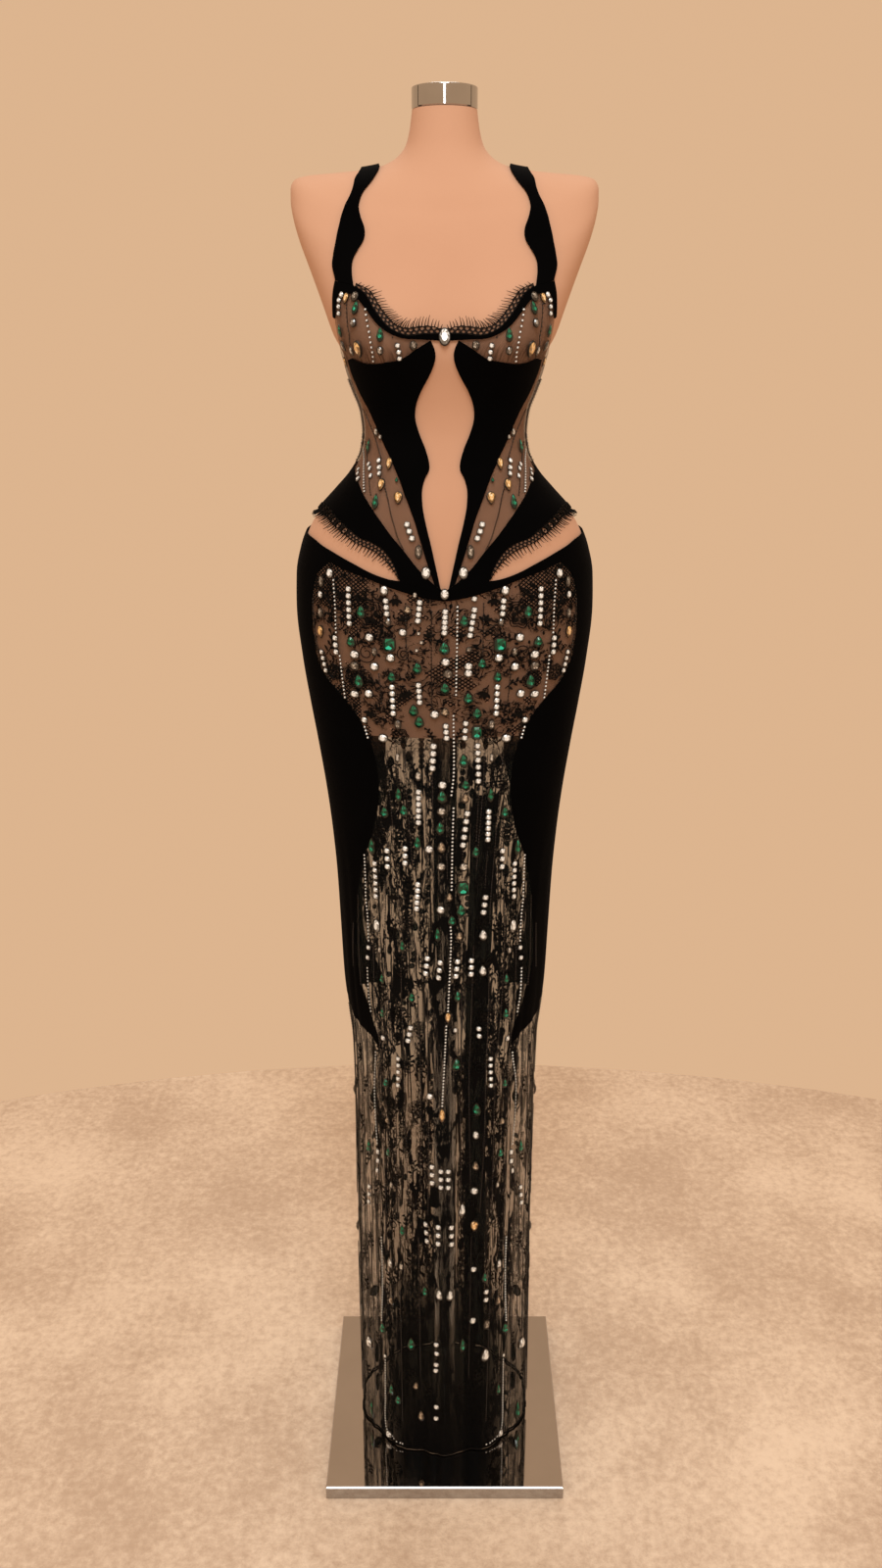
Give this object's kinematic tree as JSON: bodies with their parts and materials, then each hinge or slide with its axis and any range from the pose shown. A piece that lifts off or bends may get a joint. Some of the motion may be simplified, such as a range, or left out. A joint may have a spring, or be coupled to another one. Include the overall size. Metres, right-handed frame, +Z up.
{
  "type": "evening dress on a limbless dress form and stand",
  "caption": "Long sheer mesh evening dress with velvet panels, lace trim and set stones, worn on a limbless dress form that stands on a pole and a square mirror plate.",
  "frame": {"origin": "middle of the base plate's underside, on the floor", "axes": "+Z up along the pole, the dress faces -Y, +X is the viewer's right"},
  "size_m": [0.3436, 0.32, 1.7258],
  "materials": {
    "form_jersey": "matt nude jersey stretched over the form",
    "chrome": "polished chrome",
    "mirror_steel": "mirror polished steel",
    "black_velvet": "black velvet, soft pile with a faint sheen at the edges",
    "nude_mesh": "sheer brown mesh over the nude form",
    "lace_mesh": "sheer mesh with black floral lace",
    "black_lace": "black eyelash lace and net",
    "crystal": "cut glass stones, clear, emerald, gold and smoke"
  },
  "bodies": {
    "root": {"stand_base": "mirror_steel", "stand_pole": "chrome", "form_neck_cap": "chrome", "form_torso": "form_jersey", "strap_left": "black_velvet", "strap_right": "black_velvet", "cup_edging_left": "black_velvet", "cup_edging_right": "black_velvet", "cup_left": "nude_mesh", "cup_right": "nude_mesh", "cup_lace_left": "black_lace", "cup_lace_right": "black_lace", "front_panel_left": "black_velvet", "front_panel_right": "black_velvet", "side_panel_left": "nude_mesh", "side_panel_right": "nude_mesh", "back_panel_left": "nude_mesh", "back_panel_right": "nude_mesh", "back_placket": "black_velvet", "hip_sweep_left": "black_velvet", "hip_sweep_right": "black_velvet", "hip_lace_left": "black_lace", "hip_lace_right": "black_lace", "skirt_band": "black_velvet", "skirt_front": "lace_mesh", "skirt_back": "lace_mesh", "skirt_velvet_left": "black_velvet", "skirt_velvet_right": "black_velvet", "vent_facing": "black_lace", "bust_stone": "crystal", "hip_stone": "crystal"}
  },
  "joints": []
}
